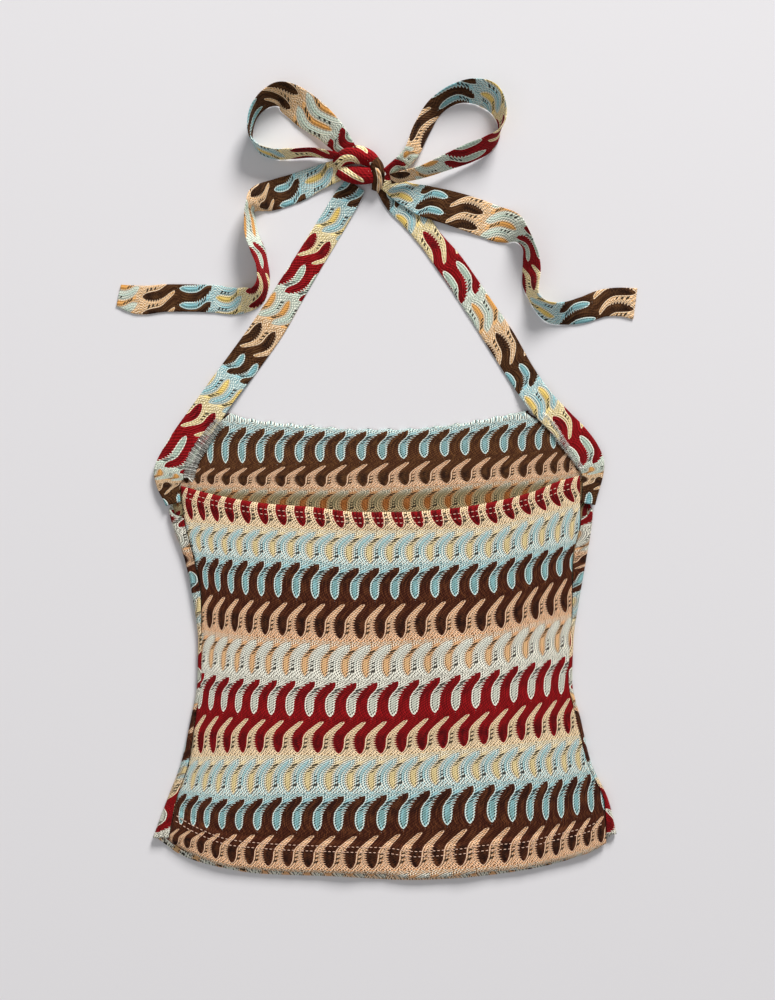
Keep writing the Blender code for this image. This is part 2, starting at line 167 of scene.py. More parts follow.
# Saw teeth on a dark finger's edge, in fingers, about the middle of their depth
TOOTH_DEEP = 0.16
TOOTH_MIDDLE = 0.4
# Rings follow a finger's edge at this pitch: an outline first, then a row of stitches
RING_PITCH = 0.125
OUTLINE_SHARE = 0.45
SEAM_MIDDLE = 0.72
SEAM_HALF = 0.22
KNOT_REACH = 0.035
BEAD_GAP = 0.2
# Slanting eyelets in a column down a finger, with lengths in fingers or in shares of a row
EYELET_SLANT = 0.8
EYELET_SPREAD = 1.1
EYELETS = {
    "hanging": {"across": 0.19, "start": 0.22, "end": 0.46, "pitch": 0.08,
                "least": 0.112, "growth": -0.10},
    "standing": {"across": 0.16, "start": 0.50, "end": 0.83, "pitch": 0.11,
                 "least": 0.0, "growth": 0.108},
}


def ease(x):
    """Smooth step from 0 to 1."""
    x = np.clip(x, 0, 1)
    return x * x * (3 - 2 * x)


def smooth(x, at, value):
    """Monotone cubic through (at, value), read at x: each slope is the harmonic mean of the two
    runs beside it, and zero where the run turns."""
    at = np.asarray(at, float)
    value = np.asarray(value, float)
    if at[0] > at[-1]:
        at, value = at[::-1], value[::-1]
    run = np.diff(value) / np.diff(at)
    both = run[:-1] * run[1:]
    inner = np.where(both > 0, 2 * both / np.where(both > 0, run[:-1] + run[1:], 1.0), 0.0)
    return hermite(x, at, value, np.concatenate([run[:1], inner, run[-1:]]))


def hermite(x, at, value, slope):
    """Cubic through (at, value) with the given slopes, read at x."""
    x = np.clip(x, at[0], at[-1])
    i = np.clip(np.searchsorted(at, x) - 1, 0, len(at) - 2)
    width = at[i + 1] - at[i]
    t = (x - at[i]) / width
    first = value[i] * (1 + 2 * t) * (1 - t) ** 2 + slope[i] * width * t * (1 - t) ** 2
    return first + value[i + 1] * t ** 2 * (3 - 2 * t) + slope[i + 1] * width * t ** 2 * (t - 1)


def side_place(sides, side, y):
    """Where a panel's side edge lies at heights y, in metres."""
    return smooth(y / MM, sides["y"], sides[side]) * MM


def panel_grid(top, hem, sides, grid, inset=0.0):
    """A panel's points, rows by columns: the height runs from the top edge to the hem at each
    share across, and the place across is that share of the way between the two side edges."""
    across = np.linspace(0, 1, grid[0] + 1)[None, :]
    down = np.linspace(0, 1, grid[1] + 1)[:, None]
    high = smooth(across, top["across"], top["y"]) * MM
    low = smooth(across, hem["across"], hem["y"]) * MM
    y = (1 - down) * high + down * low
    left = side_place(sides, "left", y[:, :1]) + inset
    right = side_place(sides, "right", y[:, -1:]) - inset
    return (1 - across) * left + across * right, y


def finger_edges(row, down):
    """Left and right edges of the hanging finger of a row, read from the table of its kind."""
    edges = []
    for side in ("left", "right"):
        dark = np.interp(down, DARK_FINGER["down"], DARK_FINGER[side])
        pale = np.interp(down, PALE_FINGER["down"], PALE_FINGER[side])
        edges.append(np.where(row % 3 == 0, dark, pale))
    return edges


def finger_relief(u, v):
    """Height of the knit: each finger swells away from its edges as one minus a bell of the
    distance to the nearest edge, so that a crease runs between neighbours."""
    row = np.floor(v)
    left, right = finger_edges(row, v - row)
    shift = np.take(ROW_SHIFTS, (row % 10).astype(int))
    place = (u - shift - left) % 1.0
    width = np.maximum(right - left, 0)
    inside = place < width
    depth = np.where(inside, np.minimum(place, width - place), np.minimum(place - width, 1 - place))
    beyond = np.maximum(np.where(inside, TIP_START - (v - row), v - row - TIP_END), 0)
    depth = np.hypot(depth, ROW_IN_FINGERS * beyond)
    return FINGER_PUFF * (1 - np.exp(-(depth / CREASE) ** 2))


def edge_distance(x, y):
    """How far in from the nearest edge of its grid each point of a panel lies."""
    sides = np.minimum(x - x[:, :1], x[:, -1:] - x)
    return np.minimum(sides, np.minimum(y - y[-1:], y[:1] - y))


def panel_face(low, thick, edge, u, v):
    """The upper face of a panel: the thickness above its lower face, less by a falling
    exponential near the edge, with the fingers' relief on top, faded out at the very edge."""
    rounded = 1 - EDGE_THIN * np.exp(-edge / EDGE_ROUND)
    return low + (thick - FINGER_PUFF) * rounded + finger_relief(u, v) * ease(edge / EDGE_FADE)


def ridge_height(x, y, table):
    """Height of soft ridges: the tallest of the long bell-shaped swells at each point."""
    height = np.zeros_like(x)
    for row in zip(*(table[key] for key in ("x", "y", "long", "wide", "turn", "high"))):
        middle_x, middle_y, half_long, half_wide, turn, high = row
        angle = np.radians(turn)
        dx = x / MM - middle_x
        dy = y / MM - middle_y
        along = (dx * np.cos(angle) + dy * np.sin(angle)) / half_long
        aside = (dy * np.cos(angle) - dx * np.sin(angle)) / half_wide
        height = np.maximum(height, high * MM * np.exp(-along ** 2 - aside ** 2))
    return height


def mesh_object(name, points, faces, material):
    """A smooth object of quads."""
    mesh = bpy.data.meshes.new(name)
    mesh.from_pydata(points.reshape(-1, 3).tolist(), [], faces.tolist())
    mesh.shade_smooth()
    mesh.materials.append(material)
    obj = bpy.data.objects.new(name, mesh)
    bpy.context.collection.objects.link(obj)
    return obj


def cloth_object(name, points, faces, knit, material):
    """A piece of quads with a knit coordinate, fingers across and rows down, at each corner."""
    obj = mesh_object(name, points, faces, material)
    layer = obj.data.uv_layers.new(name="knit")
    layer.data.foreach_set("uv", knit.reshape(-1).astype(np.float32))
    return obj


def cloth_wall(name, upper, lower, knit, material):
    """A closed wall between two grids of points, upper facing up, joined by a rim of quads."""
    rows, columns = upper.shape[:2]
    index = np.arange(rows * columns).reshape(rows, columns)
    below = rows * columns
    a, b = index[:-1, :-1], index[1:, :-1]
    c, d = index[1:, 1:], index[:-1, 1:]
    tops = np.stack([a, b, c, d], axis=-1).reshape(-1, 4)
    bottoms = np.stack([a, d, c, b], axis=-1).reshape(-1, 4) + below
    rim = np.concatenate([index[0], index[1:, -1], index[-1, -2::-1], index[-2:0:-1, 0]])
    after = np.roll(rim, -1)
    rims = np.stack([rim, after, after + below, rim + below], axis=-1)
    faces = np.concatenate([tops, bottoms, rims])
    points = np.concatenate([upper.reshape(-1, 3), lower.reshape(-1, 3)])
    corners = np.tile(knit.reshape(-1, 2), (2, 1))[faces]
    return cloth_object(name, points, faces, corners, material)


def yarn(code):
    """Linear colour of a hexadecimal sRGB code."""
    parts = np.array([int(code[i:i + 2], 16) for i in (1, 3, 5)]) / 255
    parts = np.where(parts <= 0.04045, parts / 12.92, ((parts + 0.055) / 1.055) ** 2.4)
    return (*parts, 1.0)


def feed(node, inputs):
    """Set a node's inputs, by name or number, to values or link sockets into them."""
    for key, value in inputs.items():
        if isinstance(value, bpy.types.NodeSocket):
            node.id_data.links.new(value, node.inputs[key])
        else:
            node.inputs[key].default_value = value
    return node


def knit_material(name, columns, courses, yarns=YARNS, painted_shade=None, warmth=WARMTH, haze=0.17,
                  speckle=0.95):
    """Striped knit, worked out from the knit coordinates.

    A row's fingers hang from the colour above and stand up from the colour below. The edges are
    read from the finger tables. Dark fingers get saw teeth on one side. Pale ones get eyelets,
    whose holes are painted dark as painted shade, and rings of pale outline and dark stitches that
    follow their edges. Every finger has a deeper middle. Stitches are slanting waves, columns to a
    finger and courses to a row, with their grooves darkened and ribs lightened as painted shade.
    Warmth tints pale fingers that stand between dark ones, haze whitens those between pale ones,
    and speckle is the strength of the dark stitches. Painted shade darkens the cloth to a tint
    between two rows, where it goes down inside the garment.
    """
    material = bpy.data.materials.new(name)
    material.use_nodes = True
    tree = material.node_tree

    def maths(operation, *values):
        """The output of one Math node fed with sockets or numbers."""
        node = tree.nodes.new("ShaderNodeMath")
        node.operation = operation
        return feed(node, dict(enumerate(values))).outputs[0]

    def times(first, *others):
        """The product of sockets or numbers."""
        for other in others:
            first = maths("MULTIPLY", first, other)
        return first

    def rest(x):
        """One minus x."""
        return maths("SUBTRACT", 1, x)

    def diagonal(across, along):
        """The root of the sum of two squares."""
        return maths("SQRT", maths("ADD", times(across, across), times(along, along)))

    def either(share, first, second):
        """First where the share is 0, second where it is 1."""
        numbers = isinstance(first, (int, float)) and isinstance(second, (int, float))
        change = second - first if numbers else maths("SUBTRACT", second, first)
        return maths("MULTIPLY_ADD", share, change, first)

    def curve(x, at, value):
        """Straight lines through (at, value), read at x."""
        node = tree.nodes.new("ShaderNodeFloatCurve")
        node.mapping.use_clip = False
        line = node.mapping.curves[0]
        line.points[0].location = (at[0], value[0])
        line.points[1].location = (at[-1], value[-1])
        for place in zip(at[1:-1], value[1:-1]):
            line.points.new(*place)
        for point in line.points:
            point.handle_type = "VECTOR"
        node.mapping.update()
        return feed(node, {"Value": x}).outputs[0]

    def step(x, start, end):
        """Smooth step from 0 at start to 1 at end."""
        node = tree.nodes.new("ShaderNodeMapRange")
        node.interpolation_type = "SMOOTHSTEP"
        return feed(node, {"Value": x, "From Min": start, "From Max": end}).outputs[0]

    def stripes(x, colours):
        """One flat colour for each sixth of x."""
        node = tree.nodes.new("ShaderNodeValToRGB")
        node.color_ramp.interpolation = "CONSTANT"
        ramp = node.color_ramp.elements
        while len(ramp) < len(colours):
            ramp.new(0.5)
        for i, code in enumerate(colours):
            ramp[i].position = i / len(colours)
            ramp[i].color = yarn(code)
        return feed(node, {0: x}).outputs[0]

    def mixed(share, first, second, way="MIX"):
        """Two colours mixed by a share."""
        node = tree.nodes.new("ShaderNodeMix")
        node.data_type = "RGBA"
        node.blend_type = way
        return feed(node, {0: share, 6: first, 7: second}).outputs[2]

    source = tree.nodes.new("ShaderNodeUVMap")
    source.uv_map = "knit"
    split = feed(tree.nodes.new("ShaderNodeSeparateXYZ"), {0: source.outputs[0]})
    u, v = split.outputs[:2]

    row = maths("FLOOR", v)
    down = maths("SUBTRACT", v, row)
    kind = maths("FLOORED_MODULO", row, 3)
    hangs_dark = maths("COMPARE", kind, 0, 0.1)
    stands_dark = maths("COMPARE", kind, 2, 0.1)
    both_pale = maths("COMPARE", kind, 1, 0.1)
    left, right = (either(hangs_dark, curve(down, PALE_FINGER["down"], PALE_FINGER[side]),
                          curve(down, DARK_FINGER["down"], DARK_FINGER[side]))
                   for side in ("left", "right"))

    # Teeth: on the left of a hanging dark finger, but for the first row's, and of a standing one
    tooth = times(maths("PINGPONG", times(v, courses), 0.5), 2)
    bite = times(maths("SUBTRACT", TOOTH_MIDDLE, tooth), TOOTH_DEEP)
    first_row = maths("MINIMUM", maths("ABSOLUTE", row), 1)
    hanging = times(step(down, 0.33, 0.48), rest(step(down, 0.80, 0.92)), first_row)
    standing = times(step(down, 0.06, 0.10), maths("SUBTRACT", 1.25, step(down, 0.42, 0.62)))
    left = maths("MULTIPLY_ADD", bite, times(hanging, hangs_dark), left)
    right = maths("MULTIPLY_ADD", bite, times(standing, stands_dark), right)

    # Inside a hanging finger, or outside it in a standing one, and how deep below its edge
    places = [i / 10 for i in range(10)]
    shift = curve(maths("DIVIDE", maths("FLOORED_MODULO", row, 10), 10), places, ROW_SHIFTS)
    place = maths("FRACT", maths("SUBTRACT", maths("SUBTRACT", u, shift), left))
    width = maths("MAXIMUM", maths("SUBTRACT", right, left), 0)
    past = maths("SUBTRACT", place, width)
    inside = maths("LESS_THAN", place, width)
    outside = rest(inside)
    aside = either(inside, maths("MINIMUM", past, rest(place)),
                   maths("MINIMUM", place, maths("SUBTRACT", width, place)))
    beyond = maths("MAXIMUM", either(inside, maths("SUBTRACT", down, TIP_END),
                                     maths("SUBTRACT", TIP_START, down)), 0)
    depth = diagonal(aside, times(beyond, ROW_IN_FINGERS))
    from_tip = either(inside, down, rest(down))

    # Yarn colours: a finger's edge, its deeper middle, and streaks of noise drawn out along it
    stripe = maths("FLOORED_MODULO", maths("ADD", row, outside), 6)
    stripe = maths("DIVIDE", maths("ADD", stripe, 0.5), 6)
    stretch = feed(tree.nodes.new("ShaderNodeCombineXYZ"), {
        0: maths("MULTIPLY_ADD", place, columns * 1.3, times(row, 7.3)),
        1: maths("MULTIPLY_ADD", v, courses * 0.2, maths("FLOOR", u))})
    streaks = feed(tree.nodes.new("ShaderNodeTexNoise"), {
        "Scale": 1.0, "Detail": 2.0, "Vector": stretch.outputs[0]}).outputs[0]
    core = times(step(depth, *CORE_DEPTH), step(from_tip, *CORE_TIP),
                 rest(step(from_tip, *CORE_ROOT)),
                 either(inside, either(both_pale, *CORE_STANDING), 1))
    colour = mixed(core, stripes(stripe, yarns["edge"]), stripes(stripe, yarns["middle"]))
    streak = times(step(streaks, 0.42, 0.66), STREAK_COVER)
    colour = mixed(streak, colour, stripes(stripe, yarns["streak"]))
    colour = mixed(times(outside, both_pale, haze), colour, yarn(MARK_YARNS_AND_HOLE_SHADE["haze"]))

    # Rings along the edges of pale fingers, which reach deeper in at their feet
    dark_here = maths("ADD", times(hangs_dark, inside), times(stands_dark, outside))
    ring = maths("FRACT", maths("DIVIDE", depth, RING_PITCH))
    reach = either(inside, maths("MULTIPLY_ADD", step(down, 0.70, 0.85), 0.3, 0.24),
                   maths("MULTIPLY_ADD", step(down, 0.16, 0.07), 0.4, 0.12))
    near = times(rest(dark_here), maths("LESS_THAN", depth, reach))
    cover = either(both_pale, OUTLINE_COVER["one_pale"], OUTLINE_COVER["both_pale"] + haze)
    outline = times(near, maths("LESS_THAN", ring, OUTLINE_SHARE), cover)
    colour = mixed(outline, colour, yarn(MARK_YARNS_AND_HOLE_SHADE["outline"]))
    wave = maths("MULTIPLY_ADD", place, columns * 0.5, times(v, courses))
    bead = maths("GREATER_THAN", maths("PINGPONG", wave, 0.5), BEAD_GAP)
    seam = times(maths("COMPARE", ring, SEAM_MIDDLE, SEAM_HALF), near)
    knots = times(maths("LESS_THAN", depth, KNOT_REACH), both_pale)
    knots = times(maths("MAXIMUM", seam, knots), bead, speckle)
    colour = mixed(knots, colour, yarn(MARK_YARNS_AND_HOLE_SHADE["seam"]))

    # Eyelets: ovals painted dark for the shade inside the holes, one to each pitch, in a column at
    # one place across a pale finger
    holes = 0
    for kind, side, dark, across in (
            ("hanging", inside, hangs_dark, place), ("standing", outside, stands_dark, past)):
        size = EYELETS[kind]
        count = maths("DIVIDE", maths("SUBTRACT", down, size["start"]), size["pitch"])
        link = maths("SUBTRACT", maths("FRACT", count), 0.5)
        link = times(link, EYELET_SPREAD * size["pitch"] * ROW_IN_FINGERS)
        off = maths("MULTIPLY_ADD", link, EYELET_SLANT, maths("SUBTRACT", across, size["across"]))
        radius = maths("MULTIPLY_ADD", down, size["growth"], size["least"])
        hole = times(maths("LESS_THAN", diagonal(link, off), radius), side, rest(dark),
                     maths("GREATER_THAN", down, size["start"]),
                     maths("LESS_THAN", down, size["end"]))
        holes = maths("ADD", hole, holes)
    colour = mixed(times(holes, EYELET_SHADE_COVER), colour, yarn(MARK_YARNS_AND_HOLE_SHADE["eyelet_shade"]))

    # Stitches: slanting ribs and upright grooves. Painted shade darkens the grooves and painted
    # light brightens the ribs, more on pale yarns than dark ones, on top of the marled yarn's
    # streaks
    whole_turn = 6.2832
    rib = maths("SINE", times(wave, whole_turn))
    groove = maths("SINE", times(place, columns, whole_turn))
    stitch = maths("MULTIPLY_ADD", groove, 0.4, times(rib, 0.6))
    marl_tone_and_stitch_shade = maths("MULTIPLY_ADD", streaks, 0.3, 0.85)
    marl_tone_and_stitch_shade = maths("MULTIPLY_ADD", stitch, either(dark_here, 0.11, 0.26), marl_tone_and_stitch_shade)
    marl_and_stitch_shade = feed(tree.nodes.new("ShaderNodeCombineColor"), {0: marl_tone_and_stitch_shade, 1: marl_tone_and_stitch_shade, 2: marl_tone_and_stitch_shade})
    colour = mixed(1.0, colour, marl_and_stitch_shade.outputs[0], "MULTIPLY")
    colour = mixed(times(outside, hangs_dark), colour, yarn(warmth), "MULTIPLY")
    # Painted shade: the cloth is multiplied by a darker tint between two rows
    if painted_shade:
        colour = mixed(step(v, *painted_shade["rows"]), colour, yarn(painted_shade["tint"]), "MULTIPLY")

    bump = feed(tree.nodes.new("ShaderNodeBump"), {
        "Strength": 0.7, "Distance": 0.35 * MM,
        "Height": maths("SUBTRACT", stitch, times(holes, 4))})
    feed(tree.nodes["Principled BSDF"], {
        "Normal": bump.outputs[0], "Base Color": colour, "Roughness": 0.88,
        "Sheen Weight": 0.03, "Sheen Roughness": 0.6, "Specular IOR Level": 0.1})
    return material


def back_knit(x, y):
    """Knit coordinates on the back: rows are counted between the row lines at each place across.
    The fingers drift as their table says, read midway down each row, crowd together towards both
    side seams by a falling exponential, and lean in the first row."""
    lines = [smooth(x / MM, ROW_PLACES, line) * MM for line in ROW_LINES]
    v = ROW_LEAD + sum(np.clip((high - y) / (high - low), 0, 1)
                       for high, low in zip(lines, lines[1:]))
    from_left = (x - side_place(BACK_SIDES, "left", y)) / MM
    from_right = (side_place(BACK_SIDES, "right", y) - x) / MM
    crowd = (-BACK_CROWD["left"] * np.exp(-from_left / BACK_CROWD["wide"])
             + BACK_CROWD["right"] * np.exp(-from_right / BACK_CROWD["wide"]))
    drifts = np.stack([smooth(x / MM, DRIFT_PLACES, row) for row in ROW_DRIFTS])
    count = np.clip(v - 0.5, 0, len(ROW_DRIFTS) - 1.001)
    row = count.astype(int)
    above, below = (np.take_along_axis(drifts, (row + i)[None], axis=0)[0] for i in (0, 1))
    drift = above + (below - above) * ease(count - row)
    lean = TOP_LEAN * np.clip(TOP_LEAN_END - v, 0, 1)
    return (x / MM - BACK_MIDDLE - drift) / FINGER_PITCH + crowd + lean, v


x, y = panel_grid(BACK_TOP, BACK_HEM, BACK_SIDES, BACK_GRID)
from_hem = y - y[-1:]
from_top = y[:1] - y
thick = WALL + (HEM_WALL - WALL) * np.maximum(
    ease((BACK_HEM_DEPTH - from_hem) / HEM_RAMP), ease((BACK_TOP_DEPTH - from_top) / TOP_RAMP))
thick -= GROOVE_DEEP * np.exp(-((from_hem - BACK_HEM_DEPTH) / GROOVE_WIDE) ** 2)
inward = ease((x - x[:, :1]) / RIDGE_RAMP) * ease((x[:, -1:] - x) / RIDGE_RAMP)
low = BACK_Z + ridge_height(x, y, BACK_RIDGES) * inward
u, v = back_knit(x, y)
high = panel_face(low, thick, edge_distance(x, y), u, v)
back_panel = cloth_wall(
    "back_panel_knit", np.stack([x, y, high], axis=2), np.stack([x, y, low], axis=2),
    np.stack([u, v], axis=2), knit_material("back_striped_knit", 9, 16))
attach(back_panel, "root")
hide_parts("back_panel")

# Hem stitches: two rows of short pale stitches hold down the turned hem, and two the top edge.
THREAD_SIDES = 6
THREAD_RADIUS = 0.32 * MM
STITCH_LONG = 2.3 * MM
STITCH_PITCH = 3.6 * MM
STITCH_MARGIN = 4 * MM
STITCH_ROWS = {"top": (4.8 * MM, 8.8 * MM), "hem": (17.2 * MM, 21.4 * MM)}
# Along one stitch: shares of its length, and its rise and thickness in thread radii
STITCH = {
    "along": (-0.5, -0.3, 0, 0.3, 0.5),
    "rise": (-0.6, 0.5, 0.8, 0.5, -0.6),
    "thick": (0.3, 0.9, 1, 0.9, 0.3),
}


def plain_material(name, code):
    """A matt material of one colour."""
    material = bpy.data.materials.new(name)
    material.use_nodes = True
    feed(material.node_tree.nodes["Principled BSDF"], {"Base Color": yarn(code), "Roughness": 0.9})
    return material


def threads(name, lines, radii, material):
    """Round threads along a stack of lines of points: at each point a ring of six square to the
    line, with the radius given for that point along it, and each end closed by two quads."""
    ahead = np.gradient(lines, axis=1)
    ahead /= np.linalg.norm(ahead, axis=2, keepdims=True)
    side = np.cross(ahead, (0, 0, 1.0))
    side /= np.linalg.norm(side, axis=2, keepdims=True)
    up = np.cross(side, ahead)
    turn = 2 * np.pi * np.arange(THREAD_SIDES) / THREAD_SIDES
    ring = np.cos(turn)[:, None] * side[:, :, None, :] - np.sin(turn)[:, None] * up[:, :, None, :]
    points = lines[:, :, None, :] + np.asarray(radii)[None, :, None, None] * ring
    count, steps = lines.shape[:2]
    index = np.arange(count * steps * THREAD_SIDES).reshape(count, steps, THREAD_SIDES)
    a, b = index[:, :-1], index[:, 1:]
    walls = np.stack([a, b, np.roll(b, -1, axis=2), np.roll(a, -1, axis=2)], axis=-1).reshape(-1, 4)
    ends = [index[:, 0, (0, 1, 2, 3)], index[:, 0, (0, 3, 4, 5)],
            index[:, -1, (3, 2, 1, 0)], index[:, -1, (5, 4, 3, 0)]]
    return mesh_object(name, points, np.concatenate([walls, *ends]), material)


def stitch_lines(x, y, top, share):
    """Short lines of five points, one to each stitch, along the row of a panel's grid of points
    that lies a share of the way down each of its columns."""
    row = share * (x.shape[0] - 1)
    above = np.clip(np.floor(row).astype(int), 0, x.shape[0] - 2)
    columns = np.arange(x.shape[1])
    path = [(1 - row + above) * grid[above, columns] + (row - above) * grid[above + 1, columns]
            for grid in (x, y, top)]
    along = np.concatenate([[0], np.cumsum(np.hypot(np.diff(path[0]), np.diff(path[1])))])
    middles = np.arange(STITCH_MARGIN, along[-1] - STITCH_MARGIN, STITCH_PITCH)
    at = middles[:, None] + STITCH_LONG * np.array(STITCH["along"])
    lines = np.stack([np.interp(at, along, part) for part in path], axis=2)
    lines[..., 2] += THREAD_RADIUS * np.array(STITCH["rise"])
    return lines


tall = y[0] - y[-1]
places = [depth / tall for depth in STITCH_ROWS["top"]]
places += [1 - depth / tall for depth in STITCH_ROWS["hem"]]
lines = np.concatenate([stitch_lines(x, y, high, share) for share in places])
radii = THREAD_RADIUS * np.array(STITCH["thick"])
hem_stitches = threads("hem_stitches", lines, radii, plain_material("stitching_thread", "#e4bca4"))
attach(hem_stitches, "root")

# Front: the same knit in two layers, an outer cloth that lies on the table and wraps round both
# side folds up to the side seams, and a plain-cut lining inside it that shows above the back.
FRONT_SIDES = {
    "y": (53, 39.5, 23.5, 7.5, -5, -16.5, -32.5, -64.5,
          -96.5, -128.5, -160.5, -192.5, -224.5, -256.5, -286),
    "left": (-121, -137, -152, -166, -170, -168, -164.5, -153.5,
             -147, -143, -143.5, -149, -156, -168, -179),
    "right": (123, 145, 162, 174, 175, 173, 172, 167,
              161.5, 157, 156, 163, 170.5, 185, 192),
}
FRONT_TOP = {
    "across": (0, 0.07, 0.24, 0.45, 0.57, 0.74, 0.89, 1),
    "y": (53, 47.5, 43, 39.5, 39.5, 43, 49, 55),
}
FRONT_HEM = {
    "across": (0, 0.06, 0.13, 0.23, 0.38, 0.56, 0.64, 0.79, 0.94, 1),
    "y": (-286, -301, -309, -315, -317, -320, -319, -313, -299, -283),
}
LINING_Z = 1.8 * MM
FOLD_RADIUS = 2.55 * MM
LINING_CLEAR = 1.5 * MM
LINING_HEM_RISE = 4 * MM
LINING_GRID = (190, 200)
# The lining's yarns, darker than the outer cloth's: partly their own browner colour, partly painted
# shade of the lining inside the garment
LINING_YARNS_AND_SHADE = {
    "edge": ("#7a0c14", "#eed6a0", "#aed0d0", "#4c2a16", "#ecbe90", "#b8bcaa"),
    "middle": ("#62080e", "#d0aa5c", "#84a8a6", "#2e170b", "#c08048", "#96998a"),
    "streak": ("#8c0e1a", "#e0c07c", "#9cc2c6", "#6c4626", "#dca070", "#a6a896"),
}
# Painted shade: between these rows the lining is darkened to this tint, where it goes down inside
# the garment
LINING_PAINTED_SHADE = {"rows": (3.85, 4.4), "tint": "#bea888"}
# The lining's row lines in mm: the height in the middle, and what the place across and its square
# add to it. Below the last one the rows have a steady height.
LINING_LINES = ((38.3, 0.012, 0.00045), (12.8, 0.045, 0.00012), (-8, 0.025, 0.0003))
LINING_LOW_ROW = 20
# Its fingers: pitch, middle and places of its crowded sides in mm, and shifts in fingers
LINING_FINGERS = {
    "pitch": 16.8, "middle": -29, "shift": 0.27, "row_shift": 0.25,
    "left": -150, "right": 156, "crowd": 1.5, "wide": 28, "low_shift": 0.18, "low_row": 3.5,
}
# Above this row the lining's top edge shows the same row again, stretched
TOP_ROW = 1.95
TOP_STRETCH = 0.3
# Small scallops on the lining's top edge, one to a finger, at this place across it
SCALLOP = 1.3 * MM
SCALLOP_PLACE = 0.55
SCALLOP_FADE = 5 * MM
SCALLOP_RAMP = 20 * MM
# The outer cloth turns round the side folds between two heights, its strip beside the seam last
OUTER_GRID = (160, 230)
OUTER_TOP = 53 * MM
OUTER_HEM = -285 * MM
FOLD_STEPS = 12
WRAP_START = -21.5 * MM
WRAP_FULL = -31 * MM
WRAP_LEAST = 0.02
TURN_SHARE = 0.6
SEAM_GAP = 0.6 * MM
STRIP_LEAST = 0.5 * MM
# The front's rows as they pass its side folds, counted up towards the top
FRONT_ROWS = {
    "y": (50, -39.6, -58, -72.4, -92.4, -117.2, -148.4, -168.4,
          -182, -204.4, -227.6, -239.6, -261.2, -283.6, -320),
    "row": (9, 5, 4, 3, 2, 1, 0, -1, -2, -3, -4, -5, -6, -7, -7.96),
}


def lining_knit(x, y):
    """Knit coordinates on the lining: its row lines dip in the middle as shallow parabolas, the
    rows get closer as it goes down, and the fingers crowd towards both its sides by a falling
    exponential."""
    across, up = x / MM, y / MM
    first, second, third = (middle + slope * across + curve * across ** 2
                            for middle, slope, curve in LINING_LINES)
    lower = np.where(up > third, 1 + (second - up) / (second - third),
                     2 + (third - up) / LINING_LOW_ROW)
    v = ROW_LEAD + 2 + np.where(up > second, (first - up) / (first - second), lower)
    v = np.where(v < TOP_ROW, TOP_ROW + TOP_STRETCH * (TOP_ROW - v), v)
    size = LINING_FINGERS
    crowd = size["crowd"] * (np.exp(-(size["right"] - across) / size["wide"])
                             - np.exp(-(across - size["left"]) / size["wide"]))
    u = (across - size["middle"]) / size["pitch"] + size["shift"] + crowd
    u = u + size["row_shift"] * (np.floor(v) - 2) - size["low_shift"] * ease(v - size["low_row"])
    return u, v


x, y = panel_grid(FRONT_TOP, FRONT_HEM, FRONT_SIDES, LINING_GRID, inset=FOLD_RADIUS + LINING_CLEAR)
y = np.maximum(y, y[-1:] + LINING_HEM_RISE)
u, v = lining_knit(x, y)
low = np.full_like(x, LINING_Z)
high = panel_face(low, WALL, edge_distance(x, y), u, v)
wave = np.cos(2 * np.pi * (u - SCALLOP_PLACE))
wave *= ease((x - x[:, :1]) / SCALLOP_RAMP) * ease((x[:, -1:] - x) / SCALLOP_RAMP)
y = y + SCALLOP * np.maximum(wave, 0) * np.exp((y - y[:1]) / SCALLOP_FADE)
lining = cloth_wall(
    "front_lining_knit", np.stack([x, y, high], axis=2), np.stack([x, y, low], axis=2),
    np.stack([u, v], axis=2),
    knit_material("lining_striped_knit", 9, 16, LINING_YARNS_AND_SHADE, LINING_PAINTED_SHADE))
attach(lining, "root")
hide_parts("front_lining")


def wrapped_rows(offset, rows):
    """One skin of the outer cloth: flat on the table, round both side folds on arcs about their
    own axis, and up to the side seams. The turn grows to a half circle below the underarm, and
    the strip beside the seam grows after it."""
    across = np.linspace(0, 1, OUTER_GRID[0] + 1)[None, :]
    down = (rows[:, None] - rows[0]) / (rows[-1] - rows[0])
    top = smooth(across, FRONT_TOP["across"], FRONT_TOP["y"]) * MM
    hem = smooth(across, FRONT_HEM["across"], FRONT_HEM["y"]) * MM
    y = (1 - down) * top + down * hem
    left = side_place(FRONT_SIDES, "left", y[:, :1])
    right = side_place(FRONT_SIDES, "right", y[:, -1:])
    x = (1 - across) * (left + FOLD_RADIUS) + across * (right - FOLD_RADIUS)
    radius = FOLD_RADIUS - offset
    share = np.linspace(1, 0, FOLD_STEPS + 1)[None, :-1]
    parts = []
    for side, fold, edge_y in ((-1, left, y[:, :1]), (1, right, y[:, -1:])):
        below = (WRAP_START - edge_y) / (WRAP_START - WRAP_FULL)
        wrap = WRAP_LEAST + (1 - WRAP_LEAST) * ease(below / TURN_SHARE)
        grown = ease((below - TURN_SHARE) / (1 - TURN_SHARE))
        turn = np.pi * wrap * share
        middle = fold - side * FOLD_RADIUS
        seam = side_place(BACK_SIDES, "left" if side < 0 else "right", edge_y)
        strip = np.maximum((middle - seam) * side - SEAM_GAP, STRIP_LEAST)
        strip = (STRIP_LEAST + (strip - STRIP_LEAST) * grown) * share
        arc_x = middle + side * radius * np.sin(turn)
        arc_z = FOLD_RADIUS - radius * np.cos(turn)
        strip_x = arc_x[:, :1] + side * strip * np.cos(np.pi * wrap)
        strip_z = arc_z[:, :1] + strip * np.sin(np.pi * wrap)
        part_x = np.concatenate([strip_x, arc_x], axis=1)
        part_z = np.concatenate([strip_z, arc_z], axis=1)
        part = np.stack([part_x, np.repeat(edge_y, part_x.shape[1], axis=1), part_z], axis=2)
        parts.append(part if side < 0 else part[:, ::-1])
    flat = np.stack([x, y, np.full_like(x, offset)], axis=2)
    return np.concatenate([parts[0], flat, parts[1]], axis=1)


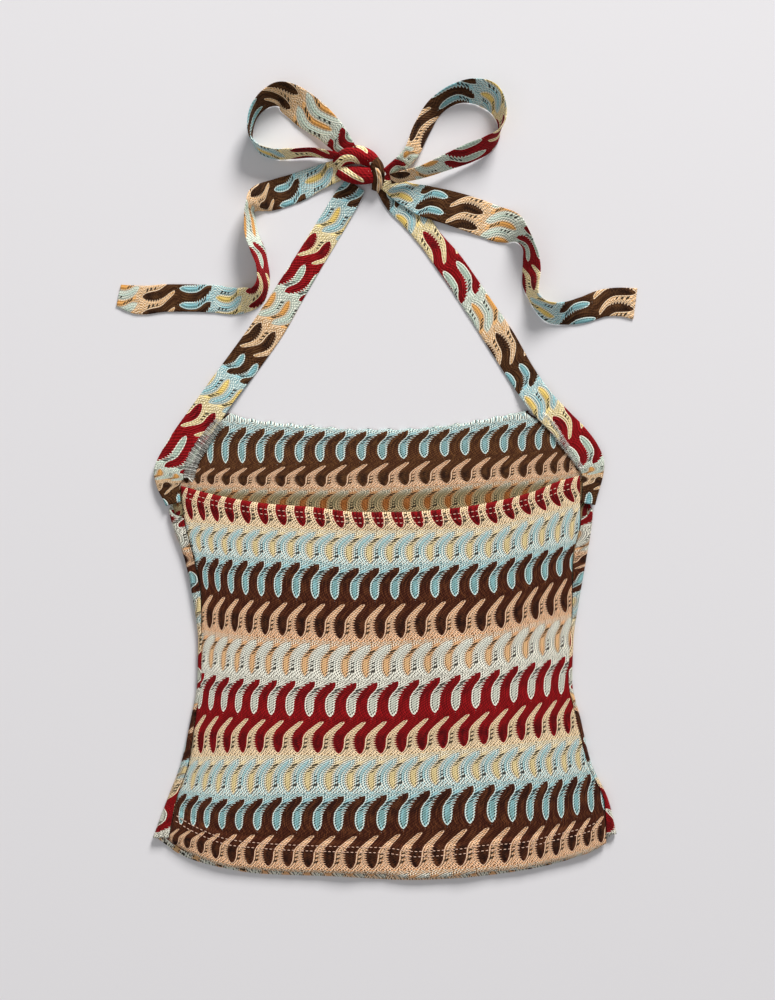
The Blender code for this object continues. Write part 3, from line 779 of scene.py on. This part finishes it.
rows = np.linspace(OUTER_TOP, OUTER_HEM, OUTER_GRID[1])
outside = wrapped_rows(0.0, rows)
inside = wrapped_rows(WALL, rows)
length = np.cumsum(np.linalg.norm(np.diff(outside, axis=1, prepend=outside[:, :1]), axis=2), axis=1)
u = length / MM / FINGER_PITCH
v = smooth(outside[..., 1] / MM, FRONT_ROWS["y"], FRONT_ROWS["row"])
front = cloth_wall("front_outer_knit", inside, outside, np.stack([u, v], axis=2),
                   knit_material("front_striped_knit", 9, 16))
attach(front, "root")
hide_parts("front_outer")

# Ties, the bow's loops and its tails: one long band of the same knit on each side, folded double
# and sewn shut, so it is two layers thick. The stripes run across it, two fingers to its width.
TIE_WALL = 1.8 * MM
TIE_PITCH = 13.2 * MM
TIE_YARNS = {
    "edge": ("#80080c", "#fce4a4", "#a6d4d8", "#40240f", "#f0bc80", "#d6e4d4"),
    "middle": ("#5c0408", "#e6c266", "#80b0b2", "#281408", "#de9f54", "#b0c2b0"),
    "streak": ("#a0141c", "#f2d684", "#94c8d0", "#5e3e22", "#e6a862", "#c0d2bc"),
}
RIBBON_STEP = 1.1 * MM
RIBBON_HALF_STEPS = 28
# A band's edges are full for a flat tie and round for a stuffed knot
RIBBON_SQUARENESS = 8
BAND_LEAST = 0.1 * MM
# Each band's line on the table, the height of its lower edge above it, its width, all in mm, its
# roll out of the flat in degrees, if any, and the row of its stripes at lengths along the line
TIE_LEFT = {
    "x": (-14, -24, -39, -54, -70.5, -87, -105.5, -125,
          -138.5, -151, -160, -165.5, -166.5, -164, -162.5),
    "y": (240, 224.5, 199.5, 175, 148, 121, 95, 68.5, 49, 31.5, 17, 5.5, -4, -14, -19.5),
    "lift": (2.5, 0.5, 0, 0, 0, 0, 0.3, 3.6, 3.6, 3.6, 3.6, 3.6, 3.6, 3.6, 3.6),
    "width": (15, 21, 22, 22.5, 24, 26, 26, 25, 26, 26, 26, 25.5, 19, 14, 12),
    "roll": (0, 4, 0, 0, 0, 0, 0, 0, 0, 0, 0, 0, 0, 0, 0),
    "at": (0, 23.9, 51.6, 77.8, 108.5, 135.5, 164.7, 188, 216, 243.9, 277, 286, 294.5, 305),
    "row": (8.8, 8, 7, 6, 5, 4, 3, 2, 1, 0, -1, -2, -2.9, -3.4),
}
TIE_RIGHT = {
    "x": (4, 17, 30.5, 41.5, 59, 75.5, 85.5, 98.5, 116,
          129.5, 147, 157, 165.5, 171, 172, 171, 169.5, 168.5),
    "y": (237, 221, 208, 193.5, 171.5, 147.5, 132.5, 112.5, 83.5,
          63.5, 45, 34.5, 23, 12, 3.5, -5.5, -14, -19.5),
    "lift": (0.3, 0, 0, 0, 0, 0, 0, 0, 0.3, 3.6, 3.6, 3.6, 3.6, 3.6, 3.6, 3.6, 3.6, 3.6),
    "width": (14, 20, 21, 19, 21.5, 22, 22.5, 23.5, 22, 22, 22, 22.5, 23, 21, 17, 14, 12, 11.5),
    "at": (0, 23, 47.2, 82, 116.5, 146.9, 178.7, 202.6, 228.4, 254.2, 281.4, 289.7, 299.5, 313),
    "row": (9.4, 8, 7, 6, 5, 4, 3, 2, 1, 0, -1, -2, -2.9, -3.5),
}
LOOP_LEFT = {
    "x": (-21, -39, -55, -68, -77.5, -87, -97, -100.5, -100, -94, -82.5, -69, -52, -30),
    "y": (258, 279.5, 292.5, 302, 306, 303, 293, 282, 271.5, 263.5, 259, 259, 260, 257),
    "lift": (5, 2, 0.5, 0, 0, 0, 0, 0, 0, 0, 0, 0.5, 1, 2),
    "width": (16, 23, 27, 26, 24, 22, 20, 19, 18, 17, 17, 16, 15, 12),
    "roll": (150, 160, 162, 155, 135, 120, 108, 100, 94, 80, 72, 70, 70, 74),
    "at": (0, 21, 58.5, 88.1, 125.6, 153, 188.9, 197),
    "row": (6.2, 5, 4, 3, 2, 1, 0, -0.2),
}
LOOP_RIGHT = {
    "x": (8, 26, 36, 47, 63, 76, 88, 96, 99, 96, 88, 74.5, 55, 38, 8),
    "y": (242, 258, 279.5, 297, 307, 309, 306, 296.5, 284.5, 274, 266.5, 260, 252, 245, 238),
    "lift": (5.5, 4, 0.5, 0, 0, 0, 0, 0, 0, 0, 0, 1, 3, 4.9, 5.6),
    "width": (13, 16, 18, 18, 20, 23, 24, 22, 20, 20, 20, 20, 17, 14, 11),
    "roll": (45, 45, 42, 45, 48, 44, 38, 55, 75, 100, 122, 130, 130, 128, 125),
    "at": (0, 17, 30.4, 64.9, 103.2, 130.1, 158.3, 197.6, 222.8, 245),
    "row": (6, 5, 4, 3, 2, 1, 0, -1, -2, -3),
}
TAIL_LEFT = {
    "x": (-25, -48, -62.5, -80, -95, -101, -101, -99.5, -94.5,
          -91, -91, -95.5, -109, -130.5, -149.5, -169.5, -189.5, -206.5),
    "y": (249, 240.5, 234, 228, 222, 215, 206, 195, 182,
          169, 155, 146.5, 142.5, 144.5, 145, 145, 143.5, 147),
    "lift": (3.5, 1, 0, 0, 0, 0, 0, 0, 0, 0, 0, 0, 0, 0, 0, 0, 0, 0),
    "width": (16, 20, 23, 24, 23, 20, 19, 20, 21, 20, 19, 20, 21, 22, 22, 22, 23, 18),
    "roll": (0, 0, 0, -6, -35, -72, -66, -60, -58, -64, -60, -48, -18, 0, 0, 0, 0, 0),
    "at": (0, 9.6, 37.7, 62.2, 80, 110.6, 136.4, 167.6, 192.6, 221.9, 251.6, 268),
    "row": (0.6, 1, 2, 3, 4, 5, 6, 7, 8, 9, 10, 10.6),
}
TAIL_RIGHT = {
    "x": (3, 23, 37.5, 56, 74.5, 93.5, 107, 115.5, 120.5, 122.5,
          123, 122.5, 125, 131, 138.5, 150.5, 165, 181, 194.5, 206.5),
    "y": (241, 228, 222.5, 217.5, 212, 205, 200, 194, 186, 177,
          166, 155.5, 145, 137.5, 133, 132.5, 135.5, 141, 142, 140.5),
    "lift": (2.4, 2.4, 2.4, 2.2, 0.8, 0, 0, 0, 0, 0, 0, 0, 0, 0, 0, 0, 0, 0, 0, 0),
    "width": (13, 19, 25, 27, 28, 28, 26, 22, 20, 20, 20, 20, 19, 19, 20, 20, 21, 22, 23, 25),
    "roll": (0, 0, 0, 0, 0, 0, 22, 58, 66, 55, 48, 54, 68, 58, 40, 30, 12, 0, 0, 0),
    "at": (0, 10.7, 34.2, 60.3, 91.1, 119.8, 147.7, 172.3, 198.8, 229.4, 258, 262),
    "row": (0.5, 1, 2, 3, 4, 5, 6, 7, 8, 9, 9.8, 9.9),
}


def catmull(x, at, value):
    """Catmull-Rom curve through (at, value), read at x."""
    value = np.asarray(value, float)
    return hermite(x, at, value, np.gradient(value, at))


def lengths(table):
    """Length along a band's line at each row of its table."""
    steps = np.hypot(np.diff(table["x"]), np.diff(table["y"]))
    return np.concatenate([[0], np.cumsum(steps)]) * MM


def ribbon_frames(table, at):
    """Middle, left-hand side, face direction and width of a band at lengths along its line. The
    side is turned up from the table by the roll, and the middle stands on the lift by half the
    height of the rolled section."""
    knots = lengths(table)
    line_x = catmull(at, knots, table["x"]) * MM
    line_y = catmull(at, knots, table["y"]) * MM
    lift, width = (smooth(at, knots, table[key]) * MM for key in ("lift", "width"))
    roll = np.radians(smooth(at, knots, table.get("roll", np.zeros_like(knots))))
    ahead = np.stack([np.gradient(line_x), np.gradient(line_y)], axis=1)
    ahead /= np.linalg.norm(ahead, axis=1)[:, None]
    side = np.stack([-ahead[:, 1] * np.cos(roll), ahead[:, 0] * np.cos(roll), np.sin(roll)], axis=1)
    up = np.stack([ahead[:, 1] * np.sin(roll), -ahead[:, 0] * np.sin(roll), np.cos(roll)], axis=1)
    middle_z = lift + width / 2 * np.abs(np.sin(roll)) + TIE_WALL / 2 * np.abs(np.cos(roll))
    return np.stack([line_x, line_y, middle_z], axis=1), side, up, width


def band(name, frames, knit, half_thick, squareness, material):
    """A closed band: at each of its frames a flat section whose half thickness falls to nothing
    at both edges as the root of one minus a power of the share across, and whose face swells
    with the fingers. The ends are closed by strips between the two faces."""
    middle, side, up, width = frames
    half = (knit.shape[1] - 1) // 2
    turn = np.pi * (np.arange(2 * half) + 0.5) / half
    share = np.cos(turn)
    face = np.where(turn < np.pi, 1, -1) * np.sqrt(1 - np.abs(share) ** squareness)
    relief = finger_relief(knit[:, :-1, 0], knit[:, :-1, 1]) - FINGER_PUFF
    high = face[None, :] * np.maximum(half_thick + relief, BAND_LEAST)
    aside = share[None, :] * width[:, None] / 2
    points = middle[:, None] + aside[..., None] * side[:, None] + high[..., None] * up[:, None]
    count, around = high.shape
    i, j = np.meshgrid(np.arange(count - 1), np.arange(around), indexing="ij")
    k = (j + 1) % around
    here, ahead = i * around, (i + 1) * around
    faces = np.stack([here + j, here + k, ahead + k, ahead + j], axis=-1)
    corners = np.stack([knit[i, j], knit[i, j + 1], knit[i + 1, j + 1], knit[i + 1, j]], axis=2)
    j = np.arange(half - 1)
    cap = np.stack([j, j + 1, around - 2 - j, around - 1 - j], axis=-1)
    ends = [cap[:, ::-1], cap + (count - 1) * around]
    faces = np.concatenate([faces.reshape(-1, 4), *ends])
    flat = knit[:, :-1].reshape(-1, 2)
    corners = np.concatenate([corners.reshape(-1, 4, 2), *(flat[end] for end in ends)])
    return cloth_object(name, points, faces, corners, material)


def band_knit(width, rows, across, half_steps):
    """Knit coordinates round a band whose points are spaced evenly by angle. Each frame has its
    row, and the fingers are counted evenly round both faces from the middle of the upper one."""
    turn = (np.arange(2 * half_steps + 1) + 0.5) / half_steps
    place = np.floor(turn) + (1 - np.cos(np.pi * (turn % 1.0))) / 2 - 0.5
    u = across + place[None, :] * width[:, None] / TIE_PITCH
    return np.stack([u, np.repeat(ROW_LEAD + rows[:, None], place.size, axis=1)], axis=2)


def ribbon(name, table, trim, across, material):
    """A band carried along its line, but for a trimmed length at both ends, with the rows of
    fingers that its table gives."""
    start, end = trim[0] * MM, lengths(table)[-1] - trim[1] * MM
    at = np.linspace(start, end, int(round((end - start) / RIBBON_STEP)) + 1)
    frames = ribbon_frames(table, at)
    rows = smooth(at / MM, table["at"], table["row"])
    knit = band_knit(frames[3], rows, across, RIBBON_HALF_STEPS)
    return band(name + "_knit", frames, knit, TIE_WALL / 2, RIBBON_SQUARENESS, material)


ribbon_knit = knit_material(
    "tie_striped_knit", 6, 15, TIE_YARNS, warmth="#ffffff", haze=0.06, speckle=0.6)
# Name, line, lengths trimmed off its ends in mm, finger at its middle, and flat size
RIBBONS = (
    ("tie_left", TIE_LEFT, (6, 0), 0.0, (0.025, 0.290)),
    ("tie_right", TIE_RIGHT, (2, 0), 0.5, (0.024, 0.320)),
    ("loop_left", LOOP_LEFT, (0, 0), 0.0, (0.022, 0.200)),
    ("loop_right", LOOP_RIGHT, (0, 3), 0.0, (0.022, 0.230)),
    ("tail_left", TAIL_LEFT, (0, 0), 0.0, (0.024, 0.270)),
    ("tail_right", TAIL_RIGHT, (2, 0), -0.15, (0.024, 0.290)),
)
for name, table, trim, across, flat in RIBBONS:
    piece = ribbon(name, table, trim, across, ribbon_knit)
    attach(piece, "root")
    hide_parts(name)

# Binding: where each tie is joined to the lining its inner edge is overcast with a close zigzag
# of three pale threads, which dip from the tie's face down to the lining.
BINDING = {
    "left": {
        "x": (-124.5, -132.5, -140, -147.5, -150),
        "y": (48, 37.2, 26.5, 13.3, 1),
        "wide": (7, 9, 10, 10, 8),
    },
    "right": {
        "x": (131, 139, 147, 157, 163),
        "y": (52, 43, 31, 17.5, 8.5),
        "wide": (5.5, 7, 6.5, 5, 4),
    },
}
BINDING_TOP = 5.75 * MM
BINDING_DIP = 0.8 * MM
BINDING_RADIUS = 0.36 * MM
BINDING_PITCH = 2.1 * MM
BINDING_STRANDS = 3
# Hand-fed threads vary in their reach to either side and in their height, as slow waves
REACH_VARIES = {"share": 0.12, "turn": 1.7}
HEIGHT_VARIES = {"high": 0.25 * MM, "turn": 2.3}

binding_thread = plain_material("binding_thread", "#efede2")
for name, table in BINDING.items():
    run = lengths(table)
    count = int(run[-1] / BINDING_PITCH)
    turns = np.arange(2 * count + 1)
    at = np.linspace(0, run[-1], turns.size)
    radii = np.full(turns.size, BINDING_RADIUS)
    strands = []
    for i in range(BINDING_STRANDS):
        place = np.clip(at + i * 2 * BINDING_PITCH / BINDING_STRANDS, 0, run[-1])
        uneven = 1 - REACH_VARIES["share"] * np.sin(REACH_VARIES["turn"] * turns + i)
        swing = 0.5 * (-1.0) ** turns * uneven
        middle = np.stack([smooth(place, run, table[key]) * MM for key in ("x", "y")], axis=1)
        ahead = np.gradient(middle, axis=0) + 1e-7
        ahead /= np.linalg.norm(ahead, axis=1)[:, None]
        square = np.stack([-ahead[:, 1], ahead[:, 0]], axis=1)
        aside = (swing * smooth(place, run, table["wide"]) * MM)[:, None] * square
        inward = swing if name == "left" else -swing
        loose = HEIGHT_VARIES["high"] * np.cos(HEIGHT_VARIES["turn"] * turns + 2 * i)
        tall = BINDING_TOP + loose - BINDING_DIP * (1 + 2 * inward)
        strands.append(np.concatenate([middle + aside, tall[:, None]], axis=1))
    binding = threads("binding_" + name, np.stack(strands), radii, binding_thread)
    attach(binding, "root")

# Knot: the band's two ends pulled round each other, so that two fat lobes and a dark turn of the
# cloth show. Each lobe is the same knit, folded in on itself, swept along its own short arc.
KNOT_STEPS = 60
KNOT_HALF_STEPS = 30
KNOT_SQUARENESS = 2
# Where along its half sine a lobe starts and ends, so that its ends keep some thickness
KNOT_SWELL = (0.04, 0.96)
KNOT_LOBES = {
    "upper": {
        "x": (-33, -26, -17, -7.5, 1.5), "y": (250.5, 256, 258.5, 256, 248.5),
        "lift": (4.6, 6.8, 7.6, 7.2, 5), "width": (8, 13, 14.5, 13.5, 9),
    },
    "lower": {
        "x": (-31.5, -24, -14, -4, 3), "y": (246.5, 243.5, 242, 242.5, 245),
        "lift": (3.6, 5.8, 6.6, 6.2, 4.6), "width": (8, 12.5, 14.5, 13, 9),
    },
    "turn": {
        "x": (-3.5, 0.5, 1, -1.5), "y": (256, 247.5, 238.5, 230.5),
        "lift": (7, 8.2, 6.6, 2.6), "width": (8, 10.5, 10, 6),
    },
}


def knot_lobe(name, table, half_thick, rows, across, material):
    """One lobe of the knot: a band whose thickness rises from its ends as the root of a half
    sine, with its stripes running from the first to the last of its rows."""
    at = np.linspace(0, lengths(table)[-1], KNOT_STEPS)
    frames = ribbon_frames(table, at)
    swell = np.sqrt(np.sin(np.pi * np.linspace(*KNOT_SWELL, KNOT_STEPS)))
    knit = band_knit(frames[3], np.linspace(*rows, KNOT_STEPS), across, KNOT_HALF_STEPS)
    return band(name, frames, knit, half_thick * swell[:, None], KNOT_SQUARENESS, material)


# Name, half thickness, first and last row, finger at its middle, and flat size
for name, half_thick, rows, across, flat in (
    ("upper", 6.4 * MM, (0.62, -0.28), 0.0, (0.022, 0.036)),
    ("lower", 5.6 * MM, (0.42, -0.25), 0.4, (0.022, 0.034)),
    ("turn", 5.6 * MM, (-3.1, -2.8), 0.2, (0.016, 0.027)),
):
    lobe = knot_lobe("bow_knot_" + name, KNOT_LOBES[name], half_thick, rows, across, ribbon_knit)
    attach(lobe, "root")
    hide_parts("bow_knot")

# Floor, light and camera: the garment lies on a plain pale surface, lit by a large soft lamp beyond
# its top and a faint one near its hem, and is seen from straight above.
FLOOR_SIZE = 6.0
LAMPS = (("key", (2.0, 5.4, 2.9), 2.0, 560), ("fill", (-1.6, -1.0, 2.6), 2.4, 14))
WORLD_COLOUR = (0.95, 0.97, 1.0, 1)
WORLD_STRENGTH = 0.3
CAMERA_HEIGHT = 1.5
SENSOR_WIDTH = 36
FRAME_MIDDLE = (8.4 * MM, -16.4 * MM)
FRAME_HEIGHT = 0.8

corners = np.array([(-1, -1, 0), (1, -1, 0), (1, 1, 0), (-1, 1, 0)]) * FLOOR_SIZE / 2
pale_floor = plain_material("pale_floor", "#e3e0e1")
floor = mesh_object("floor", corners, np.array([[0, 1, 2, 3]]), pale_floor)

for name, place, size, power in LAMPS:
    light = bpy.data.lights.new(name, "AREA")
    light.size = size
    light.energy = power
    lamp = bpy.data.objects.new(name, light)
    lamp.location = place
    lamp.rotation_euler = (-lamp.location).to_track_quat("-Z", "Y").to_euler()
    bpy.context.collection.objects.link(lamp)

world = bpy.data.worlds.new("studio")
world.use_nodes = True
feed(world.node_tree.nodes["Background"], {"Color": WORLD_COLOUR, "Strength": WORLD_STRENGTH})
bpy.context.scene.world = world
bpy.context.scene.view_settings.view_transform = "Standard"

lens = bpy.data.cameras.new("overhead")
lens.sensor_width = SENSOR_WIDTH
lens.lens = SENSOR_WIDTH * CAMERA_HEIGHT / FRAME_HEIGHT
camera = bpy.data.objects.new("overhead", lens)
camera.location = (*FRAME_MIDDLE, CAMERA_HEIGHT)
bpy.context.collection.objects.link(camera)
bpy.context.scene.camera = camera
